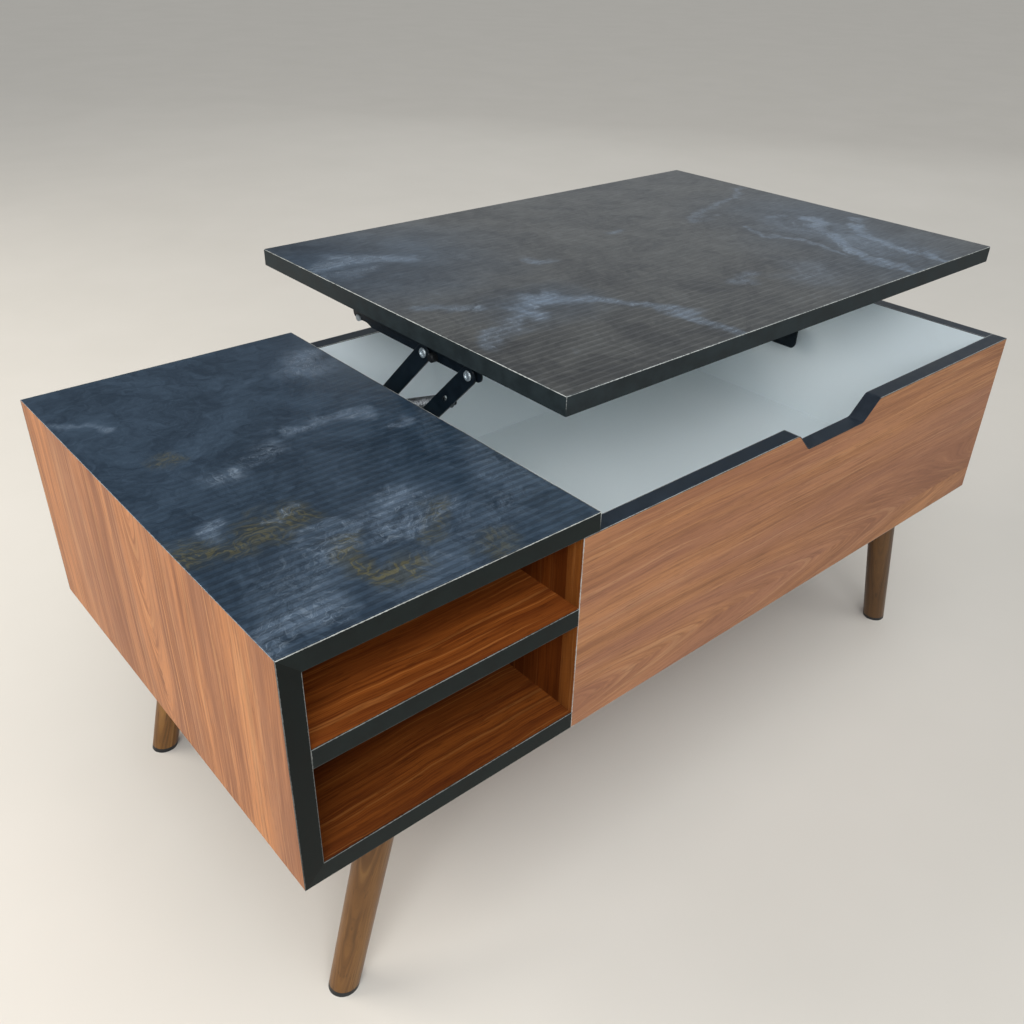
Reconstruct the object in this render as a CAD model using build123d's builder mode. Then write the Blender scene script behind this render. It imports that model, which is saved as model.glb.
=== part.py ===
"""Lift-top coffee table with open shelves at one end.

A laminated board case stands on four splayed wooden legs. The left third has a fixed top over two
open bays. The rest is a storage well under a lift top, which two parallel-arm lift mechanisms, one
on each side wall, carry up and backwards on springs. The table is drawn with its top part raised.

Millimetres. +X runs along the length, +Y to the back, +Z up. The origin is on the floor, under the
middle of the table as it stands with its top part raised.
"""

import os
from math import atan2, cos, degrees, hypot, radians, sin

from build123d import *

# ---- the case -------------------------------------------------------------------------------
LENGTH = 1000
DEPTH = 500
HEIGHT = 450
CASE_HEIGHT = 226
BOARD = 18
BAND = 1  # edge banding
FIXED_TOP_LENGTH = 296
LIFT_GAP = 2  # between the fixed top and the closed lift top
SHELF_TOP = 360
HOUSING = 5  # depth of the grooves that the divider and the back panel stand in
CORNER = 1.2  # the lift top's upright corners
ARRIS = 0.4  # the small flat round its upper face

# ---- the finger notch in the front panel's top edge -----------------------------------------
NOTCH_LEFT = 573
NOTCH_RIGHT = 717
NOTCH_DEPTH = 21
NOTCH_LEFT_RUN = 20
NOTCH_RIGHT_RUN = 25
NOTCH_ROUND = 9

# ---- the legs -------------------------------------------------------------------------------
LEG_SPLAY = 15  # outwards along the length
FOOT_INSET = 48  # from the table's end to the leg's axis at the floor
LEG_INSET_Y = 50
LEG_TOP_RADIUS = 17
LEG_FOOT_RADIUS = 14
GLIDE = 5
PLATE = (74, 54, 3)
PLATE_ROUND = 8
PLATE_HOLES = (58, 38)
PLATE_BOSS = 22
HANGER_BOLT = 4  # radius
HANGER_INTO_LEG = 40

# ---- the lift mechanism, left side; the right one is its mirror image -------------------------
ARM_LENGTH = 200  # between pivots
ARM_SPACING = 70
ARM_WIDTH = 19
ARM_PLATE = 3
REST_ANGLE = 45  # the arms' angle above horizontal, pointing to the front
CLOSED_ANGLE = 17
CLOSED_GAP = 0.4  # under the closed lift top
REAR_PIVOT_Y = 407  # from the case's front
PIVOT_Z = 356
SHEET = 2  # channel and rail thickness
PIN = 4  # radius of the lower pivots
PIN_HEAD = 7
BUSH = 6
RIVET = 3.5  # radius of the upper pivots
RIVET_HEAD = 5.1
RIVET_HOLLOW = 2.5  # radius of the dished middle of a head
HEAD = 1.5  # height of a head
RUNNING = 0.08  # radial clearance of the arms on their pins
ARM_OFFSET = 16  # from the wall to the arm's outer face
ARM_CLEARANCE = 0.3
CHANNEL_FRONT, CHANNEL_BACK = 266, 462
CHANNEL_BOTTOM, CHANNEL_HEIGHT = 340, 32
CHANNEL_ROUND = 11
CHANNEL_CUT = 12  # the floor and the wall leg start this far behind the inner leg
RAIL_FRONT, RAIL_BACK = 180, 394  # with the top at rest
RAIL_DEPTH, RAIL_LUG_DEPTH = 22, 19
RAIL_STEP_Y = 360
RAIL_FLANGE = 25
RAIL_ROUND = 6
SLOT_ALONG = 148.5  # from the lower pivot
SLOT_SIZE = (10, 5)
STUD_ALONG = 129.4
STUD = 3  # radius
SPRING_OFFSET = 33.5  # from the wall to the spring's axis
SPRING_ANCHOR_Y, SPRING_ANCHOR_Z = 440, 360
SPRING_RADIUS = 9
SPRING_WIRE = 1
HOOK_RADIUS = 5
SPRING_END = 15  # from a stud's axis to the coil
BUFFER_RADIUS = 4.8
BUFFER_Y = 250.5  # just ahead of the rear arm where the top is highest
BUFFER_LENGTH = 7
LUG_RIVET_Y = 384
BASE_SCREWS = (284, 362, 382, 450)
BASE_SCREW_Z = 360
RAIL_SCREWS = (192, 238, 300, 350)
SCREW = 2  # shank radius
SCREW_LENGTH = 14

# ---- worked out from those ------------------------------------------------------------------
RISE = CLOSED_GAP + ARM_LENGTH * (sin(radians(REST_ANGLE)) - sin(radians(CLOSED_ANGLE)))
TRAVEL = ARM_LENGTH * (cos(radians(CLOSED_ANGLE)) - cos(radians(REST_ANGLE)))
LEFT = -LENGTH / 2
RIGHT = LENGTH / 2
FRONT = -(DEPTH + TRAVEL) / 2
BACK = FRONT + DEPTH
BOTTOM = HEIGHT - CASE_HEIGHT
FLOOR = BOTTOM + BOARD  # inside the case
RIM = HEIGHT - BOARD  # under the tops
FIXED_END = LEFT + FIXED_TOP_LENGTH
BAY_END = FIXED_END - BOARD
LIFT_START = FIXED_END + LIFT_GAP
UNDERSIDE = RIM + RISE
LIFT_FRONT = FRONT + TRAVEL
WALL = FIXED_END  # the mechanism's mounting face
WELL_END = RIGHT - BOARD
BACK_PANEL_FACE = BACK - BAND  # the edge bands stand proud of the back panel
BACK_INSIDE = BACK_PANEL_FACE - BOARD
WELL_MIDDLE = Plane.YZ.offset((WALL + WELL_END) / 2)
REAR_PIVOT = (FRONT + REAR_PIVOT_Y, PIVOT_Z)
FRONT_PIVOT = (REAR_PIVOT[0] - ARM_SPACING, PIVOT_Z)
ARM_REACH = (-cos(radians(REST_ANGLE)), sin(radians(REST_ANGLE)))
INNER_LEG = ARM_OFFSET + ARM_PLATE + ARM_CLEARANCE  # from the wall to the channel's inner leg
ANCHOR = (FRONT + SPRING_ANCHOR_Y, SPRING_ANCHOR_Z)


def along_arm(pivot, distance):
    """A point on an arm at rest, in the plane of Y and Z."""
    return (pivot[0] + ARM_REACH[0] * distance, pivot[1] + ARM_REACH[1] * distance)


REAR_TOP_PIVOT = along_arm(REAR_PIVOT, ARM_LENGTH)
FRONT_TOP_PIVOT = along_arm(FRONT_PIVOT, ARM_LENGTH)
ARM_STUD = along_arm(FRONT_PIVOT, STUD_ALONG)

pieces = {}


def keep(name, part):
    """Labels a finished piece and puts it with the others."""
    part.label = name
    pieces[name] = part


def keep_both_sides(name, part):
    """Keeps a left-hand piece of the mechanism and its mirror image on the right wall."""
    keep("left_" + name, part)
    with BuildPart() as right:
        mirror(part, about=WELL_MIDDLE)
    keep("right_" + name, right.part)


def corners(sketch, axis, low, high):
    """The corners of a sketch between two places along an axis."""
    return sketch.vertices().filter_by_position(axis, low - ARRIS, high + ARRIS)


def from_ends(*points):
    """Points given from the table's left end and the floor."""
    return [(LEFT + x, z) for x, z in points]


def board_along_y(outline, front, back):
    """A board or band whose outline, in X and Z, runs from front to back."""
    with BuildPart() as board:
        with BuildSketch(Plane.XZ.offset(-front)):
            with BuildLine():
                Polyline(*outline, close=True)
            make_face()
        extrude(amount=front - back)
    return board.part


def block(low, high):
    """A square-cut board or band between two corners."""
    size = [b - a for a, b in zip(low, high)]
    with BuildPart() as board:
        with BuildSketch(Plane.XY.offset(low[2])):
            with Locations(((low[0] + high[0]) / 2, (low[1] + high[1]) / 2)):
                Rectangle(size[0], size[1])
        extrude(amount=size[2])
    return board.part


def group(*parts):
    """Several separate solids in one piece of the list."""
    with BuildPart() as together:
        add(parts)
    return together.part


# ---- boards of the case ---------------------------------------------------------------------
end_outline = from_ends((0, BOTTOM), (0, HEIGHT), (BOARD, RIM), (BOARD, FLOOR))
keep("left_end_panel", board_along_y(end_outline, FRONT + BAND, BACK - BAND))
keep(
    "left_end_edge_bands",
    group(
        board_along_y(end_outline, FRONT, FRONT + BAND),
        board_along_y(end_outline, BACK - BAND, BACK),
    ),
)

top_outline = from_ends(
    (0, HEIGHT),
    (FIXED_TOP_LENGTH - BAND, HEIGHT),
    (FIXED_TOP_LENGTH - BAND, RIM),
    (BOARD, RIM),
)
keep("fixed_top", board_along_y(top_outline, FRONT + BAND, BACK - BAND))
keep(
    "fixed_top_edge_bands",
    group(
        board_along_y(top_outline, FRONT, FRONT + BAND),
        board_along_y(top_outline, BACK - BAND, BACK),
        block((FIXED_END - BAND, FRONT, RIM), (FIXED_END, BACK, HEIGHT)),
    ),
)


def pilot_holes(places, plane, depth):
    """Cuts screw holes from a plane into the part being built."""
    with BuildSketch(plane) as circles:
        with Locations(*places):
            Circle(SCREW + RUNNING)
    extrude(circles.sketch, amount=depth, mode=Mode.SUBTRACT)


def leg_places():
    """Each leg's name, its side (-1 left, 1 right) and where its axis meets the case and the floor."""
    for end, side in (("left", -1), ("right", 1)):
        for row, y in (("front", FRONT + LEG_INSET_Y), ("back", BACK - LEG_INSET_Y)):
            foot_x = side * (LENGTH / 2 - FOOT_INSET)
            top_x = foot_x - side * BOTTOM * sin(radians(LEG_SPLAY)) / cos(radians(LEG_SPLAY))
            yield f"{row}_{end}", side, Vector(top_x, y, BOTTOM), Vector(foot_x, y, 0)


PLATE_SCREWS = [
    (top.X + dx * PLATE_HOLES[0] / 2, top.Y + dy * PLATE_HOLES[1] / 2)
    for _, _, top, _ in leg_places()
    for dx in (-1, 1)
    for dy in (-1, 1)
]


def bottom_outline(length):
    """The bottom board in X and Z, mitred at its left end."""
    return from_ends((0, BOTTOM), (BOARD, FLOOR), (length, FLOOR), (length, BOTTOM))


BOTTOM_LENGTH = LENGTH - BOARD
BAY_LENGTH = FIXED_TOP_LENGTH - BOARD

with BuildPart() as bottom_panel:
    with BuildSketch(Plane.XZ.offset(-FRONT - BAND)):
        with BuildLine():
            Polyline(*bottom_outline(BOTTOM_LENGTH), close=True)
        make_face()
    extrude(amount=-(DEPTH - 2 * BAND))
    with BuildSketch(Plane.XY.offset(BOTTOM)):
        with Locations((BAY_END, FRONT)):
            Rectangle(LENGTH, BOARD, align=Align.MIN)
    extrude(amount=BOARD, mode=Mode.SUBTRACT)
    with BuildSketch(Plane.XY.offset(FLOOR)):
        with Locations((BAY_END, FRONT)):
            Rectangle(BOARD, DEPTH - BAND, align=Align.MIN)
        with Locations((LEFT + BOARD, BACK_INSIDE)):
            Rectangle(LENGTH, BOARD, align=Align.MIN)
    extrude(amount=-HOUSING, mode=Mode.SUBTRACT)
    pilot_holes(PLATE_SCREWS, Plane.XY.offset(BOTTOM), SCREW_LENGTH)
keep("bottom_panel", bottom_panel.part)
keep(
    "bottom_edge_bands",
    group(
        board_along_y(bottom_outline(BAY_LENGTH), FRONT, FRONT + BAND),
        board_along_y(bottom_outline(BOTTOM_LENGTH), BACK - BAND, BACK),
    ),
)

with BuildPart() as divider:
    add(block((BAY_END, FRONT + BOARD, FLOOR - HOUSING), (FIXED_END, BACK_INSIDE, RIM)))
    pilot_holes(
        [(-FRONT - y, BASE_SCREW_Z) for y in BASE_SCREWS],
        Plane(origin=(WALL, 0, 0), x_dir=(0, -1, 0), z_dir=(-1, 0, 0)),
        SCREW_LENGTH,
    )
keep("divider_panel", divider.part)

with BuildPart() as middle_shelf:
    add(block((LEFT + BOARD, FRONT + BAND, SHELF_TOP - BOARD), (BAY_END, BACK_INSIDE, SHELF_TOP)))
keep("middle_shelf", middle_shelf.part)
keep(
    "middle_shelf_edge_band",
    block((LEFT + BOARD, FRONT, SHELF_TOP - BOARD), (BAY_END, FRONT + BAND, SHELF_TOP)),
)


def notched_outline(top):
    """The front panel in X and Z up to a given height, with the finger notch in its top edge."""
    low = top - NOTCH_DEPTH
    with BuildSketch(Plane.XZ.offset(-FRONT)) as outline:
        with BuildLine():
            Polyline(
                (BAY_END, BOTTOM),
                (RIGHT, BOTTOM),
                (RIGHT, top),
                (LEFT + NOTCH_RIGHT, top),
                (LEFT + NOTCH_RIGHT - NOTCH_RIGHT_RUN, low),
                (LEFT + NOTCH_LEFT + NOTCH_LEFT_RUN, low),
                (LEFT + NOTCH_LEFT, top),
                (BAY_END, top),
                close=True,
            )
        make_face()
        fillet(corners(outline, Axis.X, LEFT + NOTCH_LEFT, LEFT + NOTCH_RIGHT), NOTCH_ROUND)
    return outline.sketch


with BuildPart() as front_panel:
    extrude(notched_outline(RIM - BAND), amount=-BOARD)
keep("front_panel", front_panel.part)

with BuildPart() as front_panel_edge_band:
    extrude(notched_outline(RIM), amount=-BOARD)
    extrude(notched_outline(RIM - BAND), amount=-BOARD, mode=Mode.SUBTRACT)
keep("front_panel_edge_band", front_panel_edge_band.part)

back_band = block((FIXED_END, BACK_INSIDE, RIM - BAND), (WELL_END, BACK_PANEL_FACE, RIM))
keep("back_panel_edge_band", back_band)
with BuildPart() as back_panel:
    add(block((LEFT + BOARD, BACK_INSIDE, FLOOR - HOUSING), (WELL_END, BACK_PANEL_FACE, RIM)))
    add(back_band, mode=Mode.SUBTRACT)
keep("back_panel", back_panel.part)

with BuildPart() as right_end_panel:
    add(block((WELL_END, FRONT + BOARD, BOTTOM), (RIGHT, BACK - BAND, RIM - BAND)))
    pilot_holes(
        [(FRONT + y, BASE_SCREW_Z) for y in BASE_SCREWS],
        Plane(origin=(WELL_END, 0, 0), x_dir=(0, 1, 0), z_dir=(1, 0, 0)),
        SCREW_LENGTH,
    )
keep("right_end_panel", right_end_panel.part)
keep(
    "right_end_edge_bands",
    group(
        block((WELL_END, FRONT + BOARD, RIM - BAND), (RIGHT, BACK - BAND, RIM)),
        block((WELL_END, BACK - BAND, BOTTOM), (RIGHT, BACK, RIM)),
    ),
)


# ---- the lift top ---------------------------------------------------------------------------
LIFT_SIZE = (RIGHT - LIFT_START, DEPTH)
LIFT_CENTRE = ((RIGHT + LIFT_START) / 2, LIFT_FRONT + DEPTH / 2)
RAIL_SCREW_OFFSET = INNER_LEG + 15  # from the wall
LEFT_RAIL_SCREWS = [(WALL + RAIL_SCREW_OFFSET, FRONT + y) for y in RAIL_SCREWS]
RIGHT_RAIL_SCREWS = [(WELL_END - RAIL_SCREW_OFFSET, FRONT + y) for y in RAIL_SCREWS]

with BuildPart() as lift_top:
    with BuildSketch(Plane.XY.offset(UNDERSIDE)):
        with Locations(LIFT_CENTRE):
            Rectangle(LIFT_SIZE[0] - 2 * BAND, LIFT_SIZE[1] - 2 * BAND)
    extrude(amount=BOARD)
    pilot_holes(LEFT_RAIL_SCREWS + RIGHT_RAIL_SCREWS, Plane.XY.offset(UNDERSIDE), SCREW_LENGTH)
keep("lift_top_board", lift_top.part)

with BuildPart() as lift_top_band:
    with BuildSketch(Plane.XY.offset(UNDERSIDE)):
        with Locations(LIFT_CENTRE):
            Rectangle(*LIFT_SIZE)
            Rectangle(LIFT_SIZE[0] - 2 * BAND, LIFT_SIZE[1] - 2 * BAND, mode=Mode.SUBTRACT)
    extrude(amount=BOARD)
    upright_edges = lift_top_band.edges().filter_by(Axis.Z).group_by(Axis.X)
    fillet(upright_edges[0] + upright_edges[-1], CORNER)
    outer_rim = lift_top_band.faces().sort_by(Axis.Z)[-1].outer_wire().edges()
    chamfer(outer_rim, ARRIS)
keep("lift_top_edge_band", lift_top_band.part)


# ---- legs -----------------------------------------------------------------------------------
def tapered_leg(foot, top):
    """A round tapered leg from above the table's underside to below the floor, still to be cut."""
    axis = (top - foot).normalized()
    with BuildPart() as blank:
        with BuildSketch(Plane(origin=foot - axis * BOARD, z_dir=axis)):
            Circle(LEG_FOOT_RADIUS)
        with BuildSketch(Plane(origin=top + axis * BOARD, z_dir=axis)):
            Circle(LEG_TOP_RADIUS)
        loft()
    return blank.part


hanger_bolts = []
plate_screws = []
for name, side, top, foot in leg_places():
    axis = (top - foot).normalized()
    seat = Plane(origin=top - axis * (PLATE[2] + PLATE_BOSS * sin(radians(LEG_SPLAY))), z_dir=axis)
    blank = tapered_leg(foot, top)

    with BuildPart() as leg:
        add(blank)
        split(bisect_by=seat, keep=Keep.BOTTOM)
        split(bisect_by=Plane.XY.offset(GLIDE), keep=Keep.TOP)
        with BuildSketch(seat):
            Circle(HANGER_BOLT + RUNNING)
        extrude(amount=-HANGER_INTO_LEG, mode=Mode.SUBTRACT)
    keep(f"{name}_leg", leg.part)

    with BuildPart() as glide:
        add(blank)
        split(bisect_by=Plane.XY.offset(GLIDE), keep=Keep.BOTTOM)
        split(bisect_by=Plane.XY, keep=Keep.TOP)
    keep(f"{name}_foot_glide", glide.part)

    with BuildPart() as leg_plate:
        with BuildSketch(Plane.XY.offset(BOTTOM)):
            with Locations((seat.origin.X, top.Y)):
                Circle(PLATE_BOSS)
        extrude(amount=-PLATE_BOSS)
        split(bisect_by=seat, keep=Keep.TOP)
        with BuildSketch(Plane.XY.offset(BOTTOM)):
            with Locations((top.X, top.Y)):
                RectangleRounded(PLATE[0], PLATE[1], PLATE_ROUND)
                with GridLocations(*PLATE_HOLES, 2, 2):
                    Circle(SCREW + RUNNING, mode=Mode.SUBTRACT)
        extrude(amount=-PLATE[2])
        with BuildSketch(seat):
            Circle(HANGER_BOLT)
        extrude(amount=2 * PLATE_BOSS, mode=Mode.SUBTRACT)
    keep(f"{name}_leg_plate", leg_plate.part)

    with BuildPart() as hanger_bolt:
        with BuildSketch(Plane(origin=seat.origin - axis * (HANGER_INTO_LEG - BAND), z_dir=axis)):
            Circle(HANGER_BOLT - RUNNING)
        extrude(amount=HANGER_INTO_LEG + PLATE[2])
    hanger_bolts.append(hanger_bolt.part)
keep("hanger_bolts", group(*hanger_bolts))

with BuildPart() as screw:
    with BuildSketch():
        Circle(SCREW)
    extrude(amount=SCREW_LENGTH)
    with BuildSketch():
        Circle(2 * SCREW)
    extrude(amount=-HEAD)


def screws(plane, places):
    """Pan-head screws driven along a plane's normal at places on it."""
    with BuildPart() as driven:
        with Locations(plane):
            with Locations(*places):
                add(screw.part)
    return driven.part


keep("leg_plate_screws", screws(Plane.XY.offset(BOTTOM - PLATE[2]), PLATE_SCREWS))


# ---- the lift mechanism ---------------------------------------------------------------------
def sheet_at(offset):
    """The plane of a pressed part, seen from the mechanism's inner side; local X is Y, local Y is Z."""
    return Plane.YZ.offset(WALL + offset)


def turned(profile, place):
    """A pin, bush or stud turned about an axis along X, from points (radius, distance from the wall)."""
    turning = Plane(origin=(WALL, *place), x_dir=(0, 1, 0), z_dir=(0, 0, -1))
    with BuildPart() as part:
        with BuildSketch(turning):
            with BuildLine():
                Polyline(*profile, close=True)
            make_face()
        revolve(axis=Axis(turning.origin, (1, 0, 0)))
    return part.part


INNER_FACE = INNER_LEG + SHEET
CHANNEL_LENGTH = CHANNEL_BACK - CHANNEL_FRONT
CHANNEL_CENTRE = (FRONT + (CHANNEL_FRONT + CHANNEL_BACK) / 2, CHANNEL_BOTTOM + CHANNEL_HEIGHT / 2)
CHANNEL_INSIDE = CHANNEL_BOTTOM + SHEET

with BuildPart() as base_channel:
    with BuildSketch(Plane.XZ.offset(-FRONT - CHANNEL_FRONT)) as section:
        with Locations((WALL + INNER_FACE / 2, CHANNEL_CENTRE[1])):
            Rectangle(INNER_FACE, CHANNEL_HEIGHT)
        fillet(section.vertices().group_by(Axis.Y)[0], 2 * SHEET)
        with Locations((WALL + INNER_FACE / 2, CHANNEL_CENTRE[1] + SHEET)):
            Rectangle(INNER_FACE - 2 * SHEET, CHANNEL_HEIGHT, mode=Mode.SUBTRACT)
        fillet(corners(section, Axis.Y, CHANNEL_INSIDE, CHANNEL_INSIDE), SHEET)
    extrude(amount=-CHANNEL_LENGTH)
    with BuildSketch(sheet_at(0)):
        with Locations(CHANNEL_CENTRE):
            RectangleRounded(CHANNEL_LENGTH, CHANNEL_HEIGHT, CHANNEL_ROUND)
    extrude(amount=INNER_FACE, mode=Mode.INTERSECT)
    with BuildSketch(sheet_at(0)):
        with Locations((FRONT + CHANNEL_FRONT, CHANNEL_BOTTOM)):
            Rectangle(CHANNEL_CUT, CHANNEL_HEIGHT, align=Align.MIN)
    extrude(amount=INNER_LEG, mode=Mode.SUBTRACT)
    with BuildSketch(sheet_at(0)):
        with Locations(REAR_PIVOT, FRONT_PIVOT):
            Circle(PIN)
    extrude(amount=INNER_FACE, mode=Mode.SUBTRACT)
    with BuildSketch(sheet_at(INNER_LEG)):
        with Locations(ANCHOR):
            Circle(STUD)
    extrude(amount=SHEET, mode=Mode.SUBTRACT)
    with BuildSketch(sheet_at(0)):
        with Locations(*[(FRONT + y, BASE_SCREW_Z) for y in BASE_SCREWS]):
            Circle(SCREW + RUNNING)
    extrude(amount=SHEET, mode=Mode.SUBTRACT)
keep_both_sides("base_channel", base_channel.part)


def arm(pivot, holes):
    """One arm at rest: a flat bar round both pivots. Each further hole is a sketch."""
    with BuildSketch(sheet_at(ARM_OFFSET)) as outline:
        with Locations(Location(along_arm(pivot, ARM_LENGTH / 2), -REST_ANGLE)):
            SlotCenterToCenter(ARM_LENGTH, ARM_WIDTH)
    with BuildPart() as bar:
        extrude(outline.sketch, amount=ARM_PLATE)
        chamfer(bar.faces().filter_by(Axis.X).edges(), ARRIS)
        with BuildSketch(sheet_at(ARM_OFFSET)) as bores:
            with Locations(pivot):
                Circle(PIN + RUNNING)
            with Locations(along_arm(pivot, ARM_LENGTH)):
                Circle(RIVET + RUNNING)
            add(holes)
        extrude(bores.sketch, amount=ARM_PLATE, mode=Mode.SUBTRACT)
    return bar.part


with BuildSketch() as front_arm_holes:
    with Locations(Location(along_arm(FRONT_PIVOT, SLOT_ALONG), -REST_ANGLE)):
        SlotOverall(*SLOT_SIZE)
    with Locations(ARM_STUD):
        Circle(STUD)

keep_both_sides("rear_arm", arm(REAR_PIVOT, []))
keep_both_sides("front_arm", arm(FRONT_PIVOT, front_arm_holes.sketch))

pivot_pin = [
    (0, SHEET / 4),
    (PIN, SHEET / 4),
    (PIN, INNER_FACE),
    (PIN_HEAD, INNER_FACE),
    (PIN_HEAD - HEAD / 2, INNER_FACE + HEAD),
    (0, INNER_FACE + HEAD),
]
keep_both_sides("pivot_pins", group(turned(pivot_pin, REAR_PIVOT), turned(pivot_pin, FRONT_PIVOT)))

pivot_bush = [
    (PIN + RUNNING, SHEET + RUNNING),
    (BUSH, SHEET + RUNNING),
    (BUSH, ARM_OFFSET - ARM_CLEARANCE),
    (PIN + RUNNING, ARM_OFFSET - ARM_CLEARANCE),
]
keep_both_sides("pivot_bushes", group(turned(pivot_bush, REAR_PIVOT), turned(pivot_bush, FRONT_PIVOT)))

anchor_stud = [
    (0, INNER_LEG),
    (STUD, INNER_LEG),
    (STUD, SPRING_OFFSET + STUD),
    (STUD + HEAD, SPRING_OFFSET + STUD),
    (STUD + HEAD, SPRING_OFFSET + STUD + HEAD),
    (0, SPRING_OFFSET + STUD + HEAD),
]
keep_both_sides("spring_anchor", turned(anchor_stud, ANCHOR))
arm_stud = [(0, ARM_OFFSET), (STUD, ARM_OFFSET), *anchor_stud[2:]]
keep_both_sides("arm_spring_stud", turned(arm_stud, ARM_STUD))


# ---- the rails under the lift top -----------------------------------------------------------
RAIL_ENDS = (FRONT + RAIL_FRONT, FRONT + RAIL_BACK)
STEP = (FRONT + RAIL_STEP_Y, UNDERSIDE - RAIL_DEPTH)
LUG = UNDERSIDE - RAIL_LUG_DEPTH
STEP_RUN = 3 * (RAIL_DEPTH - RAIL_LUG_DEPTH)

with BuildPart() as top_rail:
    with BuildSketch(sheet_at(INNER_LEG)) as web:
        with BuildLine():
            Polyline(
                STEP,
                (RAIL_ENDS[0], STEP[1]),
                (RAIL_ENDS[0], UNDERSIDE),
                (RAIL_ENDS[1], UNDERSIDE),
                (RAIL_ENDS[1], LUG),
                (STEP[0] + STEP_RUN, LUG),
                close=True,
            )
        make_face()
        lug_end = web.vertices().group_by(Axis.X)[-1].sort_by(Axis.Y)[0]
        front_end = web.vertices().group_by(Axis.X)[0].sort_by(Axis.Y)[0]
        fillet([lug_end, front_end], RAIL_ROUND)
        fillet(corners(web, Axis.X, STEP[0], STEP[0] + STEP_RUN), STEP_RUN)
        with Locations(REAR_TOP_PIVOT, FRONT_TOP_PIVOT, (FRONT + LUG_RIVET_Y, REAR_TOP_PIVOT[1])):
            Circle(RIVET, mode=Mode.SUBTRACT)
        with Locations((FRONT + BUFFER_Y, REAR_TOP_PIVOT[1])):
            Circle(STUD, mode=Mode.SUBTRACT)
    extrude(amount=SHEET)
    with BuildSketch(Plane.XY.offset(UNDERSIDE)):
        with Locations((WALL + INNER_LEG, RAIL_ENDS[0])):
            Rectangle(RAIL_FLANGE, RAIL_ENDS[1] - RAIL_ENDS[0], align=Align.MIN)
        with Locations(*LEFT_RAIL_SCREWS):
            Circle(SCREW + RUNNING, mode=Mode.SUBTRACT)
    extrude(amount=-SHEET)
    flange_corners = top_rail.edges().filter_by(Axis.Z).group_by(Axis.X)[-1]
    fillet(flange_corners, RAIL_ROUND)
keep_both_sides("top_rail", top_rail.part)

top_rivet = [
    (0, INNER_FACE + HEAD / 2),
    (RIVET, INNER_FACE + HEAD / 2),
    (RIVET, ARM_OFFSET - RUNNING),
    (RIVET_HEAD, ARM_OFFSET - RUNNING),
    (RIVET_HEAD, ARM_OFFSET - HEAD / 2),
    (RIVET_HEAD - HEAD / 3, ARM_OFFSET - HEAD),
    (RIVET_HOLLOW + HEAD / 3, ARM_OFFSET - HEAD),
    (RIVET_HOLLOW, ARM_OFFSET - HEAD / 3),
    (0, ARM_OFFSET - HEAD / 3),
]
lug_rivet = [
    (0, INNER_FACE + HEAD / 2),
    (RIVET, INNER_FACE + HEAD / 2),
    (RIVET, INNER_LEG - HEAD),
    (0, INNER_LEG - HEAD),
]
keep_both_sides(
    "top_rivets",
    group(
        turned(top_rivet, REAR_TOP_PIVOT),
        turned(top_rivet, FRONT_TOP_PIVOT),
        turned(lug_rivet, (FRONT + LUG_RIVET_Y, REAR_TOP_PIVOT[1])),
    ),
)

stop_buffer = [
    (0, INNER_FACE + HEAD / 2),
    (STUD, INNER_FACE + HEAD / 2),
    (STUD, INNER_LEG),
    (BUFFER_RADIUS, INNER_LEG),
    (BUFFER_RADIUS, INNER_LEG - BUFFER_LENGTH + HEAD),
    (BUFFER_RADIUS - HEAD, INNER_LEG - BUFFER_LENGTH),
    (0, INNER_LEG - BUFFER_LENGTH),
]
keep_both_sides("stop_buffer", turned(stop_buffer, (FRONT + BUFFER_Y, REAR_TOP_PIVOT[1])))

CHANNEL_WEB = Plane(origin=(WALL + SHEET, 0, 0), x_dir=(0, -1, 0), z_dir=(-1, 0, 0))
keep_both_sides("base_screws", screws(CHANNEL_WEB, [(-FRONT - y, BASE_SCREW_Z) for y in BASE_SCREWS]))
keep_both_sides("rail_screws", screws(Plane.XY.offset(UNDERSIDE - SHEET), LEFT_RAIL_SCREWS))


# ---- springs, drawn as plain bodies without their turns -------------------------------------
SPRING_LENGTH = hypot(ARM_STUD[0] - ANCHOR[0], ARM_STUD[1] - ANCHOR[1])
SPRING_ANGLE = degrees(atan2(ARM_STUD[1] - ANCHOR[1], ARM_STUD[0] - ANCHOR[0]))
SPRING_PLANE = Plane(
    origin=(WALL + SPRING_OFFSET, *ANCHOR),
    x_dir=(0, cos(radians(SPRING_ANGLE)), sin(radians(SPRING_ANGLE))),
    z_dir=(1, 0, 0),
)
COIL_START = SPRING_PLANE.from_local_coords((SPRING_END, 0, 0))
with BuildPart() as spring:
    with BuildSketch(SPRING_PLANE):
        with Locations((SPRING_LENGTH / 2, 0)):
            Rectangle(SPRING_LENGTH - 2 * HOOK_RADIUS, 2 * SPRING_WIRE)
        with Locations((0, 0), (SPRING_LENGTH, 0)):
            Circle(HOOK_RADIUS + SPRING_WIRE)
            Circle(HOOK_RADIUS - SPRING_WIRE, mode=Mode.SUBTRACT)
    extrude(amount=SPRING_WIRE, both=True)
    with BuildSketch(Plane(origin=COIL_START, z_dir=SPRING_PLANE.x_dir)):
        Circle(SPRING_RADIUS)
    extrude(amount=SPRING_LENGTH - 2 * SPRING_END)
keep_both_sides("spring", spring.part)


os.makedirs("parts", exist_ok=True)
for name, part in pieces.items():
    export_step(part, f"parts/{name}.step")
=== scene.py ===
"""The looks of the lift-top coffee table.

Slate and walnut laminates, worn edge bands, turned legs, coated and plated steel, wound springs, a
floor, the light and the camera. Everything is in metres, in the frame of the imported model: +X along
the length, from the open shelves to the storage well, +Y to the back and +Z up.
"""

from math import pi, radians

import bpy
import numpy as np
from mathutils import Matrix, Vector


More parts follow.
